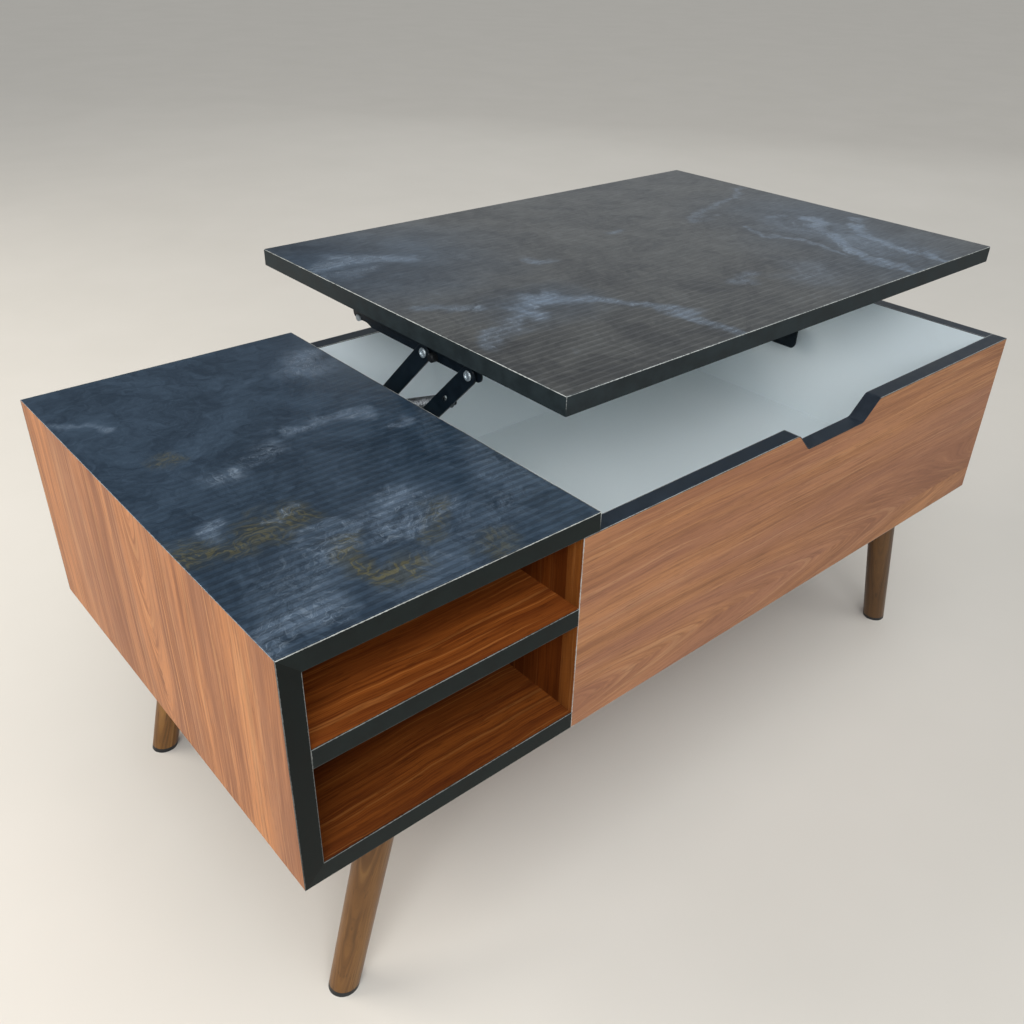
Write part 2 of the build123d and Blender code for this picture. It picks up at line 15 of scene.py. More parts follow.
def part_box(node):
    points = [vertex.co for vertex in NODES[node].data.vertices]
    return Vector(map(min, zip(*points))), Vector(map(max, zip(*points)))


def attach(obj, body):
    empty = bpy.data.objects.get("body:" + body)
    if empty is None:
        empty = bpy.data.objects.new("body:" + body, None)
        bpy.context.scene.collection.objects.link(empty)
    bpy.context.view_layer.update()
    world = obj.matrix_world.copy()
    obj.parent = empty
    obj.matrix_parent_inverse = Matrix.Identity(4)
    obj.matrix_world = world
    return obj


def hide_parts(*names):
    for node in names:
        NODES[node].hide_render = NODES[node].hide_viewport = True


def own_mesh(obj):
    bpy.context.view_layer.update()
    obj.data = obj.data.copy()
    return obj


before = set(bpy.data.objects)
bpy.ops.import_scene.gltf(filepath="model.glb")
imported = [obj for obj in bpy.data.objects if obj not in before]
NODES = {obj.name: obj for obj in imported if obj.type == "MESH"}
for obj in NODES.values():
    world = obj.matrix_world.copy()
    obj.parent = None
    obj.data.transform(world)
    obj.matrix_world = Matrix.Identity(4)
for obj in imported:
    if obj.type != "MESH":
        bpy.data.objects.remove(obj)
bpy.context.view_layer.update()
MM = 0.001


def span(*names):
    """The lowest and the highest corner of several solids together."""
    boxes = [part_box(name) for name in names]
    low = Vector([min(box[0][axis] for box in boxes) for axis in range(3)])
    high = Vector([max(box[1][axis] for box in boxes) for axis in range(3)])
    return low, high


FIXED_TOP = span("fixed_top", "fixed_top_edge_bands")
LIFT_TOP = span("lift_top_board", "lift_top_edge_band")
LEFT_END = span("left_end_panel", "left_end_edge_bands")
FRONT_PANEL = span("front_panel", "front_panel_edge_band")
BACK_PANEL = span("back_panel", "back_panel_edge_band")
RIGHT_END = span("right_end_panel", "right_end_edge_bands")
BOTTOM = span("bottom_panel", "bottom_edge_bands")
SHELF = span("middle_shelf", "middle_shelf_edge_band")
DIVIDER = span("divider_panel")

# the room inside the storage well
WELL = (
    Vector((DIVIDER[1].x, FRONT_PANEL[1].y, BOTTOM[1].z)),
    Vector((RIGHT_END[0].x, BACK_PANEL[0].y, DIVIDER[1].z)),
)


def shaded(colour, share):
    """A darker or lighter tone of a colour."""
    return tuple(share * part for part in colour)


# ---- node trees -------------------------------------------------------------------------------
class Tree:
    """Adds nodes to one tree. An input is a number, a colour or the output of another node."""

    def __init__(self, tree):
        self.tree = tree

    def add(self, kind, inputs=(), **settings):
        node = self.tree.nodes.new(kind)
        for name, value in settings.items():
            setattr(node, name, value)
        for key, value in dict(inputs).items():
            if isinstance(value, bpy.types.NodeSocket):
                self.tree.links.new(value, node.inputs[key])
            else:
                node.inputs[key].default_value = value
        return node

    def math(self, operation, a, b=0.0):
        return self.add("ShaderNodeMath", {0: a, 1: b}, operation=operation).outputs[0]

    def vector(self, operation, a, b=(0.0, 0.0, 0.0)):
        node = self.add("ShaderNodeVectorMath", {0: a, 1: b}, operation=operation)
        gives_number = operation in ("DOT_PRODUCT", "DISTANCE")
        return node.outputs["Value" if gives_number else "Vector"]

    def scaled(self, vector, factors):
        return self.vector("MULTIPLY", vector, factors)

    def split(self, vector):
        return self.add("ShaderNodeSeparateXYZ", {0: vector}).outputs

    def join(self, x, y, z):
        return self.add("ShaderNodeCombineXYZ", {0: x, 1: y, 2: z}).outputs[0]

    def step(self, value, low, high, to_low=0.0, to_high=1.0):
        """A smooth step from to_low to to_high, as the value goes from low to high."""
        limits = {"From Min": low, "From Max": high, "To Min": to_low, "To Max": to_high}
        inputs = {"Value": value, **limits}
        return self.add("ShaderNodeMapRange", inputs, interpolation_type="SMOOTHSTEP").outputs[0]

    def blend(self, share, a, b):
        """Colour a where share is 0 and colour b where it is 1."""
        node = self.add("ShaderNodeMix", data_type="RGBA")
        for key, value in ((0, share), (6, a), (7, b)):
            if isinstance(value, bpy.types.NodeSocket):
                self.tree.links.new(value, node.inputs[key])
            elif key == 0:
                node.inputs[key].default_value = value
            else:
                node.inputs[key].default_value = (*value, 1.0)
        return node.outputs[2]

    def noise(self, vector, scale, detail=2.0, roughness=0.5, distortion=0.0):
        inputs = {
            "Vector": vector,
            "Scale": scale,
            "Detail": detail,
            "Roughness": roughness,
            "Distortion": distortion,
        }
        return self.add("ShaderNodeTexNoise", inputs).outputs[0]

    def group(self, group, **inputs):
        """An effect's group, with its inputs by name. Spaces in their names are written as _."""
        node = self.add("ShaderNodeGroup", node_tree=group)
        for name, value in inputs.items():
            socket = node.inputs[name.replace("_", " ")]
            if isinstance(value, bpy.types.NodeSocket):
                self.tree.links.new(value, socket)
            else:
                socket.default_value = value
        return node.outputs


SOCKETS = {"vector": "NodeSocketVector", "value": "NodeSocketFloat"}


def new_group(name, takes, gives):
    """An empty effect group. takes and gives map each socket's name to its kind."""
    tree = bpy.data.node_groups.new(name, "ShaderNodeTree")
    for sockets, side in ((takes, "INPUT"), (gives, "OUTPUT")):
        for socket, kind in sockets.items():
            tree.interface.new_socket(name=socket, in_out=side, socket_type=SOCKETS[kind])
    t = Tree(tree)
    return tree, t, t.add("NodeGroupInput").outputs


def group_gives(t, **outputs):
    """Joins a group's results to its output, by name."""
    t.add("NodeGroupOutput", {name.replace("_", " "): value for name, value in outputs.items()})


def edge_distance_group():
    """How far a point on a box is from the nearest of its edges.

    Each axis gives the distance to the nearer of its two faces. One is nothing, because the point
    is on a face, and the middle one of the three is the distance to the nearest edge.
    """
    takes = {"Vector": "vector", "Low": "vector", "High": "vector"}
    group, t, given = new_group("edge_distance", takes, {"Distance": "value"})
    from_low = t.vector("ABSOLUTE", t.vector("SUBTRACT", given["Vector"], given["Low"]))
    from_high = t.vector("ABSOLUTE", t.vector("SUBTRACT", given["High"], given["Vector"]))
    x, y, z = t.split(t.vector("MINIMUM", from_low, from_high))[:3]
    largest = t.math("MAXIMUM", t.math("MAXIMUM", x, y), z)
    smallest = t.math("MINIMUM", t.math("MINIMUM", x, y), z)
    total = t.math("ADD", t.math("ADD", x, y), z)
    group_gives(t, Distance=t.math("SUBTRACT", t.math("SUBTRACT", total, largest), smallest))
    return group


def worn_and_lit_edge_group(edge_distance):
    """A thin pale line along a box's edges, uneven as handling leaves it: partly wear and partly
    painted highlight of the arrises.
    """
    takes = {"Vector": "vector", "Low": "vector", "High": "vector", "Width": "value"}
    group, t, given = new_group("worn_and_lit_edge", takes, {"Wear": "value"})
    box = {key: given[key] for key in ("Vector", "Low", "High")}
    distance = t.group(edge_distance, **box)[0]
    patches = t.step(t.noise(given["Vector"], 38.0, 3.0), 0.25, 0.6, 0.35, 1.0)
    ragged = t.step(t.noise(given["Vector"], 400.0, 2.0), 0.3, 0.7, 0.6, 1.3)
    width = t.math("MULTIPLY", given["Width"], ragged)
    line = t.step(t.math("DIVIDE", distance, width), 0.55, 1.0, 1.0, 0.0)
    group_gives(t, Wear=t.math("MULTIPLY", line, patches))
    return group


def inside_box_group():
    """1 inside a box and 0 outside it."""
    takes = {"Vector": "vector", "Low": "vector", "High": "vector"}
    group, t, given = new_group("inside_box", takes, {"Inside": "value"})
    above = t.split(t.vector("SUBTRACT", given["Vector"], given["Low"]))
    below = t.split(t.vector("SUBTRACT", given["High"], given["Vector"]))
    inside = 1.0
    for room in (*above[:3], *below[:3]):
        inside = t.math("MULTIPLY", t.math("GREATER_THAN", room, 0.0), inside)
    group_gives(t, Inside=inside)
    return group


def walnut_figure_group():
    """The figure of a sawn walnut board. X runs along the grain, Y across it and Z through it.

    A year ring's place is its distance from the heart line, rounded near it and drawn out along the
    grain, which opens the rings into arches there and leaves them straight at the board's sides.
    Heart is the heart line's place across the board, Arch the radius of the rounding and Slope how
    fast the rings are drawn out.
    """
    numbers = ("Heart", "Arch", "Slope", "Ring Scale")
    masks = ("Tone", "Broad", "Pale Lines", "Flecks", "Pores")
    takes = {"Vector": "vector", **dict.fromkeys(numbers, "value")}
    group, t, given = new_group("walnut_figure", takes, dict.fromkeys(masks, "value"))
    along, across, depth = t.split(given["Vector"])[:3]
    slow = t.join(t.math("MULTIPLY", along, 2.6), t.math("MULTIPLY", across, 5.0), depth)
    sway = t.math("MULTIPLY", t.math("SUBTRACT", t.noise(slow, 1.0, 2.0), 0.5), 0.024)
    ripple_at = t.join(t.math("MULTIPLY", along, 22.0), t.math("MULTIPLY", across, 40.0), depth)
    ripple = t.math("MULTIPLY", t.math("SUBTRACT", t.noise(ripple_at, 1.0, 2.0), 0.5), 0.003)
    swayed = t.math("ADD", t.math("ADD", across, sway), ripple)
    from_heart = t.math("SUBTRACT", swayed, given["Heart"])
    squared = t.math("MULTIPLY", from_heart, from_heart)
    arch_squared = t.math("MULTIPLY", given["Arch"], given["Arch"])
    rounded = t.math("SQRT", t.math("ADD", squared, arch_squared))
    near_heart = t.step(rounded, given["Arch"], t.math("MULTIPLY", given["Arch"], 4.0), 1.0, 0.10)
    drawn = t.math("MULTIPLY", t.math("MULTIPLY", along, given["Slope"]), near_heart)
    ring = t.math("MULTIPLY", t.math("ADD", rounded, drawn), given["Ring Scale"])
    side = t.math("MULTIPLY", t.math("SIGN", from_heart), 3.0)

    # each layer is finer across the rings, and shorter along the grain, than the one before
    tone = 0.0
    layers = (
        (1.1, 1.6, 2.0, 0.30),
        (4.5, 3.4, 3.0, 0.24),
        (15.0, 9.0, 3.0, 0.24),
        (46.0, 16.0, 1.0, 0.22),
    )
    for finer, shorter, detail, weight in layers:
        at = t.join(t.math("MULTIPLY", ring, finer), t.math("MULTIPLY", along, shorter), side)
        tone = t.math("ADD", t.math("MULTIPLY", t.noise(at, 1.0, detail), weight), tone)
    broad_at = t.join(t.math("MULTIPLY", ring, 0.8), along, t.math("ADD", side, 5.0))
    broad = t.noise(broad_at, 1.0, 2.0)
    line_at = t.join(t.math("MULTIPLY", ring, 9.0), t.math("MULTIPLY", along, 3.5), depth)
    lines = t.step(t.noise(line_at, 1.0, 1.0), 0.60, 0.68)
    pore_at = t.join(t.math("MULTIPLY", along, 60.0), t.math("MULTIPLY", across, 1100.0), depth)
    pores = t.step(t.noise(pore_at, 1.0, 1.0), 0.62, 0.72)
    fleck_at = t.join(t.math("MULTIPLY", along, 17.0), t.math("MULTIPLY", across, 330.0), depth)
    flecks = t.step(t.noise(fleck_at, 1.0, 2.0), 0.54, 0.68)
    group_gives(
        t,
        Tone=t.step(tone, 0.38, 0.62),
        Broad=t.step(broad, 0.35, 0.65),
        Pale_Lines=lines,
        Flecks=flecks,
        Pores=pores,
    )
    return group


def pulled_place_group():
    """A place pulled about in X and Y, so that what is drawn there curls as veins in stone do."""
    group, t, given = new_group("pulled_place", {"Vector": "vector"}, {"Vector": "vector"})
    place = given["Vector"]
    for scale, reach in ((11.0, 0.045), (48.0, 0.014)):
        inputs = {"Vector": given["Vector"], "Scale": scale, "Detail": 3.0}
        colour = t.add("ShaderNodeTexNoise", inputs).outputs[1]
        pull = t.scaled(t.vector("SUBTRACT", colour, (0.5, 0.5, 0.5)), (2 * reach, 2 * reach, 0.0))
        place = t.vector("ADD", place, pull)
    group_gives(t, Vector=place)
    return group


def stone_figure_group(pulled_place):
    """Cloudy slate. Haze says how pale the stone is meant to be at a place, from 0 to 1.

    Clouds are a coarse and a fine noise over the pulled place, as strong as the haze there. A vein
    runs where a curled noise crosses its middle, so veins wander and close on themselves. Threads
    are such veins near a haze, Curls are wider ones everywhere, and Fibre is the paper's grain.
    """
    masks = ("Mottling", "Clouds", "Threads", "Curls", "Fibre")
    takes = {"Vector": "vector", "Haze": "value"}
    group, t, given = new_group("stone_figure", takes, dict.fromkeys(masks, "value"))
    curled = t.group(pulled_place, Vector=given["Vector"])[0]
    coarse = t.noise(curled, 13.0, 6.0, 0.62, 0.6)
    fine = t.noise(curled, 60.0, 6.0, 0.68, 1.4)
    ground = t.math("ADD", t.math("MULTIPLY", coarse, 0.55), t.math("MULTIPLY", fine, 0.45))
    both = t.math("ADD", t.math("MULTIPLY", coarse, 0.45), t.math("MULTIPLY", fine, 0.55))
    broken = t.step(both, 0.30, 0.66, 0.05, 1.15)
    stray = t.step(both, 0.56, 0.72, 0.0, 0.30)
    clouds = t.math("ADD", t.math("MULTIPLY", given["Haze"], broken), stray)
    drawn_out = t.scaled(curled, (0.6, 1.0, 1.0))
    threads = 0.0
    for scale, width, weight in ((24.0, 0.016, 1.0), (52.0, 0.020, 0.8), (110.0, 0.030, 0.5)):
        middle = t.math("SUBTRACT", t.noise(drawn_out, scale, 3.0, 0.5, 2.4), 0.5)
        line = t.step(t.math("ABSOLUTE", middle), 0.0, width, weight, 0.0)
        threads = t.math("MAXIMUM", line, threads)
    near_haze = t.step(t.math("ADD", given["Haze"], stray), 0.15, 0.85, 0.04, 1.0)
    middle = t.math("SUBTRACT", t.noise(drawn_out, 33.0, 3.0, 0.55, 3.0), 0.5)
    wound = t.math("ABSOLUTE", middle)
    fibre = t.noise(t.scaled(given["Vector"], (45.0, 520.0, 45.0)), 1.0, 3.0)
    group_gives(
        t,
        Mottling=t.step(ground, 0.36, 0.64),
        Clouds=clouds,
        Threads=t.math("MULTIPLY", threads, near_haze),
        Curls=t.step(wound, 0.01, 0.055, 1.0, 0.0),
        Fibre=fibre,
    )
    return group


def soft_streak_group():
    """A soft streak along one straight run, with a ragged rim.

    The nearest point of the run is found by how far along it the place lies, kept between its two
    ends. The streak is full on its line and fades out over 1.6 times its width.
    """
    takes = {"Vector": "vector", "Start": "vector", "Run": "vector", "Width": "value"}
    group, t, given = new_group("soft_streak", takes, {"Streak": "value"})
    place = t.vector("SUBTRACT", given["Vector"], given["Start"])
    length_squared = t.vector("DOT_PRODUCT", given["Run"], given["Run"])
    along = t.math("DIVIDE", t.vector("DOT_PRODUCT", place, given["Run"]), length_squared)
    along = t.math("MINIMUM", t.math("MAXIMUM", along, 0.0), 1.0)
    nearest = t.vector("MULTIPLY", given["Run"], t.join(along, along, along))
    off = t.math("DIVIDE", t.vector("DISTANCE", place, nearest), given["Width"])
    group_gives(t, Streak=t.step(off, 0.0, 1.6, 1.0, 0.0))
    return group


def mottle_group():
    """Fine unevenness of a finish, from 0 to 1."""
    takes = {"Vector": "vector", "Scale": "value"}
    group, t, given = new_group("mottle", takes, {"Value": "value"})
    group_gives(t, Value=t.noise(given["Vector"], given["Scale"], 3.0, 0.6))
    return group


EDGE_DISTANCE = edge_distance_group()
WORN_AND_LIT_EDGE = worn_and_lit_edge_group(EDGE_DISTANCE)
INSIDE_BOX = inside_box_group()
WALNUT_FIGURE = walnut_figure_group()
PULLED_PLACE = pulled_place_group()
STONE_FIGURE = stone_figure_group(PULLED_PLACE)
SOFT_STREAK = soft_streak_group()
MOTTLE = mottle_group()


# ---- materials --------------------------------------------------------------------------------
def new_material(name, **shader):
    """A material with a Principled shader, its tree and the object's coordinates."""
    material = bpy.data.materials.new(name)
    material.use_nodes = True
    t = Tree(material.node_tree)
    bsdf = next(node for node in t.tree.nodes if node.type == "BSDF_PRINCIPLED")
    for socket, value in shader.items():
        bsdf.inputs[socket.replace("_", " ")].default_value = value
    place = t.add("ShaderNodeTexCoord").outputs["Object"]
    return material, t, bsdf, place


def feed(t, bsdf, colour, roughness=None, height=None, depth=None):
    """Joins colour, roughness and bump height to the shader. depth is in metres."""
    t.tree.links.new(colour, bsdf.inputs["Base Color"])
    if roughness is not None:
        t.tree.links.new(roughness, bsdf.inputs["Roughness"])
    if height is not None:
        bump = t.add("ShaderNodeBump", {"Height": height, "Distance": depth, "Strength": 1.0})
        t.tree.links.new(bump.outputs[0], bsdf.inputs["Normal"])


RIB_PITCH = 9.0 * MM
RIB_HEIGHT = 0.045 * MM
# the dark and the light of the two grounds, and what lies over them
NAVY = ((0.0085, 0.019, 0.034), (0.028, 0.048, 0.075))
CHARCOAL = ((0.014, 0.014, 0.015), (0.059, 0.059, 0.055))
HAZE = (0.110, 0.150, 0.205)
VEIN = (0.250, 0.305, 0.370)
GOLD = (0.096, 0.085, 0.038)
STAINED_GROUND = (0.013, 0.016, 0.011)
# the pale of the arrises' lines, partly wear and partly painted highlight
WORN_AND_LIT_PALE = (0.48, 0.49, 0.47)
WORN_AND_LIT_SLATE = (0.40, 0.45, 0.48)
# how much each of them covers where it is strongest
HAZE_COVER, VEIN_COVER, WEAR_AND_HIGHLIGHT_COVER = 0.62, 0.40, 0.75
STAIN_COVER, GOLD_COVER = 0.4, 0.8


def streaks_field(t, place, corner, streaks):
    """The strongest of several soft streaks at a place.

    Each streak has its width, its strength and the points of its line on the board, in millimetres
    from the board's front left corner.
    """
    field = 0.0
    for width, strength, *points in streaks:
        for (x, y), (next_x, next_y) in zip(points, points[1:]):
            inputs = {
                "Vector": place,
                "Start": (corner.x + x * MM, corner.y + y * MM, 0.0),
                "Run": ((next_x - x) * MM, (next_y - y) * MM, 0.0),
                "Width": width * MM,
            }
            streak = t.math("MULTIPLY", t.group(SOFT_STREAK, **inputs)[0], strength)
            field = t.math("MAXIMUM", streak, field)
    return field


def stone_top(name, box, hazes, stains, navy, ribs_fade, slant, groove, underside):
    """Ribbed satin laminate in a slate pattern.

    hazes, stains and navy are lists of streaks: where the stone is pale, where it is rusty and
    where its ground is blue instead of grey. Without a navy list all of it is blue. The print hides
    the ribs by the share ribs_fade at the back edge, and not at the front. slant is how far that
    fading comes forward for each metre to the right. groove is how much darker the bottom of a
    groove is painted, as painted shade. underside gives the colour of the board's smooth bottom face.

    The ribs are a cosine across the board and a weaker one of half its pitch, which together have
    narrow crests and wide grooves.
    """
    low, high = box
    material, t, bsdf, place = new_material(name, IOR=1.5)
    pulled = t.group(PULLED_PLACE, Vector=t.scaled(place, (1.0, 1.0, 0.0)))[0]
    stone = t.group(STONE_FIGURE, Vector=place, Haze=streaks_field(t, pulled, low, hazes))
    colour = t.blend(stone["Mottling"], *NAVY)
    if navy:
        grey = t.blend(stone["Mottling"], *CHARCOAL)
        colour = t.blend(streaks_field(t, pulled, low, navy), grey, colour)
    colour = t.blend(t.math("MULTIPLY", stone["Clouds"], HAZE_COVER), colour, HAZE)
    if stains:
        darker_share = streaks_field(t, pulled, low, stains)
        flecks = t.math("MULTIPLY", darker_share, t.step(stone["Curls"], 0.0, 0.7, 0.22, 1.0))
        colour = t.blend(t.math("MULTIPLY", darker_share, STAIN_COVER), colour, STAINED_GROUND)
        colour = t.blend(t.math("MULTIPLY", flecks, GOLD_COVER), colour, GOLD)
    colour = t.blend(t.math("MULTIPLY", stone["Threads"], VEIN_COVER), colour, VEIN)
    # pale lines on the arrises: partly wear and partly painted highlight
    wear_and_highlight = t.group(WORN_AND_LIT_EDGE, Vector=place, Low=low, High=high, Width=0.6 * MM)[0]
    colour = t.blend(t.math("MULTIPLY", wear_and_highlight, WEAR_AND_HIGHLIGHT_COVER), colour, WORN_AND_LIT_SLATE)

    from_left, from_front, from_below = t.split(t.vector("SUBTRACT", place, low))[:3]
    inwards = t.math("ADD", from_front, t.math("MULTIPLY", from_left, slant))
    depth = high.y - low.y
    clear = t.step(inwards, 0.15 * depth, 0.65 * depth, 1.0, 1.0 - ribs_fade)
    phase = t.math("MULTIPLY", from_front, 2 * pi / RIB_PITCH)
    second = t.math("MULTIPLY", t.math("COSINE", t.math("MULTIPLY", phase, 2.0)), 0.45)
    ribs = t.math("ADD", t.math("COSINE", phase), second)
    # painted shade: the bottoms of the grooves are darkened as if shaded
    grooves = t.math("MULTIPLY", t.step(ribs, -0.2, -0.8, 0.0, groove), clear)
    colour = t.blend(grooves, colour, (0.0, 0.0, 0.0))
    relief = t.math("ADD", t.math("MULTIPLY", ribs, clear), t.math("MULTIPLY", stone["Fibre"], 0.9))
    above = t.step(from_below, 0.2 * MM, 0.4 * MM)
    colour = t.blend(above, underside(t, place), colour)
    relief = t.math("MULTIPLY", relief, above)
    roughness = t.step(stone["Fibre"], 0.3, 0.7, 0.32, 0.40)
    feed(t, bsdf, colour, roughness, relief, RIB_HEIGHT)
    return material


def walnut_colours(t, place, tones, heart, arch, slope, rings):
    """Walnut's colour at a place whose X runs along the grain, and the figure it is made from."""
    shape = {"Heart": heart, "Arch": arch, "Slope": slope, "Ring_Scale": rings}
    figure = t.group(WALNUT_FIGURE, Vector=place, **shape)
    dark, light, pale, shadow = tones
    colour = t.blend(figure["Tone"], dark, light)
    parts = (
        ("Broad", 0.55, shadow),
        ("Pale Lines", 0.35, pale),
        ("Flecks", 0.30, shaded(dark, 0.7)),
        ("Pores", 0.45, shaded(dark, 0.5)),
    )
    for part, cover, tone in parts:
        colour = t.blend(t.math("MULTIPLY", figure[part], cover), colour, tone)
    return colour, figure


# the dark and the light of each walnut, its pale lines and its broad shadows
WALNUT_END = (
    (0.24, 0.080, 0.028),
    (0.57, 0.215, 0.060),
    (0.60, 0.29, 0.115),
    (0.215, 0.078, 0.038),
)
WALNUT_FRONT = (
    (0.24, 0.096, 0.040),
    (0.475, 0.208, 0.080),
    (0.52, 0.27, 0.13),
    (0.255, 0.103, 0.068),
)
# the bays' walnut: darker than the outer boards' partly as painted shade inside the bays
SHADED_WALNUT_BAY = (
    (0.120, 0.025, 0.004),
    (0.34, 0.096, 0.016),
    (0.52, 0.20, 0.05),
    (0.10, 0.021, 0.004),
)
# the divider's face in the bays: the bays' walnut darkened further as painted shade
SHADED_WALNUT_DIVIDER = (
    (0.070, 0.013, 0.002),
    (0.17, 0.042, 0.006),
    (0.23, 0.080, 0.021),
    (0.055, 0.011, 0.002),
)
WALNUT_JAMB = (
    (0.15, 0.042, 0.006),
    (0.32, 0.102, 0.016),
    (0.37, 0.145, 0.040),
    (0.14, 0.040, 0.006),
)
WALNUT_LEG = (
    (0.090, 0.036, 0.007),
    (0.270, 0.121, 0.028),
    (0.36, 0.19, 0.06),
    (0.117, 0.050, 0.012),
)
WELL_WHITE = (0.82, 0.875, 0.895)
ARCH = 0.018
SLOPE = 0.16
BAY_RINGS = 55.0


def grain_along(t, place, axis, offset):
    """The place with its X along a board's grain, and Y across it on every face but its ends.

    offset takes each board from its own part of the log.
    """
    x, y, z = t.split(place)[:3]
    if axis == "X":
        across = t.math("ADD", z, t.math("MULTIPLY", y, 0.6))
        return t.join(t.math("ADD", x, offset), across, 7.0 * offset)
    across = t.math("ADD", y, x)
    return t.join(t.math("ADD", z, offset), across, 7.0 * offset)


def walnut_board(name, axis, tones, offset, heart, slope=SLOPE, rings=30.0, box=None, gloss=0.5):
    """Matte walnut laminate, white where it faces the storage well.

    A board with a box has upright grain on its left end face, the jamb of the open bays, and pale
    lines on its front arrises, partly wear and partly painted highlight.
    """
    material, t, bsdf, place = new_material(name, IOR=1.4, Specular_IOR_Level=gloss)
    grain = grain_along(t, place, axis, offset)
    colour, figure = walnut_colours(t, grain, tones, heart, ARCH, slope, rings)
    if box is not None:
        x, y = t.split(place)[:2]
        turned = grain_along(t, place, "Z", offset + 0.3)
        jamb = walnut_colours(t, turned, WALNUT_JAMB, -0.9, ARCH, slope, rings)[0]
        colour = t.blend(t.math("LESS_THAN", x, box[0].x + 0.3 * MM), colour, jamb)
        # pale lines on the front arrises: partly wear and partly painted highlight
        wear_and_highlight = t.group(WORN_AND_LIT_EDGE, Vector=place, Low=box[0], High=box[1], Width=0.8 * MM)[0]
        wear_and_highlight = t.math("MULTIPLY", wear_and_highlight, t.math("LESS_THAN", y, box[0].y + 1.5 * MM))
        strength = t.step(x, box[0].x + 2 * MM, box[0].x + 6 * MM, 0.9, 0.45)
        colour = t.blend(t.math("MULTIPLY", wear_and_highlight, strength), colour, WORN_AND_LIT_PALE)
    skin = Vector((0.2 * MM,) * 3)
    white = t.group(INSIDE_BOX, Vector=place, Low=WELL[0] - skin, High=WELL[1] + skin)[0]
    colour = t.blend(white, colour, WELL_WHITE)
    roughness = t.step(figure["Tone"], 0.0, 1.0, 0.52, 0.44)
    feed(t, bsdf, colour, roughness, figure["Tone"], 0.03 * MM)
    return material


def white_face(t, place):
    """White laminate, as on the walls of the storage well."""
    return WELL_WHITE


def walnut_face(t, place):
    """Walnut laminate, as on the shelf of the open end, with the bays' painted shade."""
    grain = grain_along(t, place, "X", 5.3)
    return walnut_colours(t, grain, SHADED_WALNUT_BAY, -0.2, ARCH, SLOPE, BAY_RINGS)[0]


# black banding: on the left end, on the long boards, on the lift top and round the well. It is
# one black band, its tone on each board set lighter or darker as painted light; the lift top's
# and the well's are painted lighter for the light falling on them.
BAND = (0.0030, 0.0052, 0.0048)
LONG_BAND = (0.0065, 0.0100, 0.0095)
LIT_LIFT_BAND = (0.0160, 0.0224, 0.0250)
LIT_RIM_BAND = (0.012, 0.017, 0.025)


def edge_band(name, box, low_wear_and_highlight, high_wear_and_highlight, tint=BAND, mitred=False):
    """Black edge banding with thin pale lines at the board's lower and upper arrises, partly wear
    and partly painted highlight.

    low_wear_and_highlight and high_wear_and_highlight say how strong those lines are; the upper
    arris gets the stronger painted highlight. tint is the band's black, lighter or darker on each
    board as painted light. The bands round the well are glossier than the others. A mitred band
    has a dark joint line across each mitre of the left end.
    """
    low, high = box
    gloss, dullness = (0.35, 0.38) if tint == LIT_RIM_BAND else (0.2, 0.46)
    material, t, bsdf, place = new_material(name, IOR=1.4, Specular_IOR_Level=gloss)
    mottle = t.group(MOTTLE, Vector=place, Scale=60.0)[0]
    colour = t.blend(t.step(mottle, 0.3, 0.7), shaded(tint, 0.8), shaded(tint, 1.25))
    # pale lines on the arrises: partly wear and partly painted highlight, stronger at the upper arris
    wear_and_highlight = t.group(WORN_AND_LIT_EDGE, Vector=place, Low=low, High=high, Width=0.65 * MM)[0]
    height = t.split(place)[2]
    strength = t.step(height, low.z + 3 * MM, high.z - 3 * MM, low_wear_and_highlight, high_wear_and_highlight)
    colour = t.blend(t.math("MULTIPLY", wear_and_highlight, strength), colour, WORN_AND_LIT_PALE)
    if mitred:
        x, _, z = t.split(t.vector("SUBTRACT", place, LEFT_END[0]))[:3]
        tall = LEFT_END[1].z - LEFT_END[0].z
        from_nearer = t.math("MINIMUM", z, t.math("SUBTRACT", tall, z))
        off_mitre = t.math("ABSOLUTE", t.math("SUBTRACT", x, from_nearer))
        joint = t.math("MULTIPLY", t.step(off_mitre, 0.15 * MM, 0.4 * MM, 1.0, 0.0), 0.7)
        near_end = t.math("LESS_THAN", x, LEFT_END[1].x - LEFT_END[0].x)
        colour = t.blend(t.math("MULTIPLY", joint, near_end), colour, (0.002, 0.002, 0.002))
    fine = t.group(MOTTLE, Vector=place, Scale=900.0)[0]
    roughness = t.step(mottle, 0.3, 0.7, dullness, dullness + 0.08)
    feed(t, bsdf, colour, roughness, fine, 0.03 * MM)
    return material


LEG_SPLAY = 15.0  # degrees
# painted shade: the front right leg in darker tones
SHADED_LEG = 0.56  # of the other legs' tones


def leg_wood(name, low, high, side, offset, tones):
    """Walnut-stained turned wood, its grain along the leg.

    side is -1 for a leg that leans out to the left and 1 for one that leans to the right.
    """
    material, t, bsdf, place = new_material(name, IOR=1.5, Specular_IOR_Level=0.35)
    from_middle = t.vector("SUBTRACT", place, (low + high) / 2)
    inputs = {"Vector": from_middle, "Angle": radians(LEG_SPLAY) * side}
    upright = t.add("ShaderNodeVectorRotate", inputs, rotation_type="Y_AXIS").outputs[0]
    x, y, z = t.split(upright)[:3]
    across = t.math("ADD", x, t.math("MULTIPLY", y, 0.7))
    grain = t.join(t.math("ADD", z, offset), across, offset)
    colour, figure = walnut_colours(t, grain, tones, 4.0, 0.01, 0.2, 34.0)
    roughness = t.step(figure["Tone"], 0.0, 1.0, 0.42, 0.34)
    feed(t, bsdf, colour, roughness, figure["Tone"], 0.05 * MM)
    return material


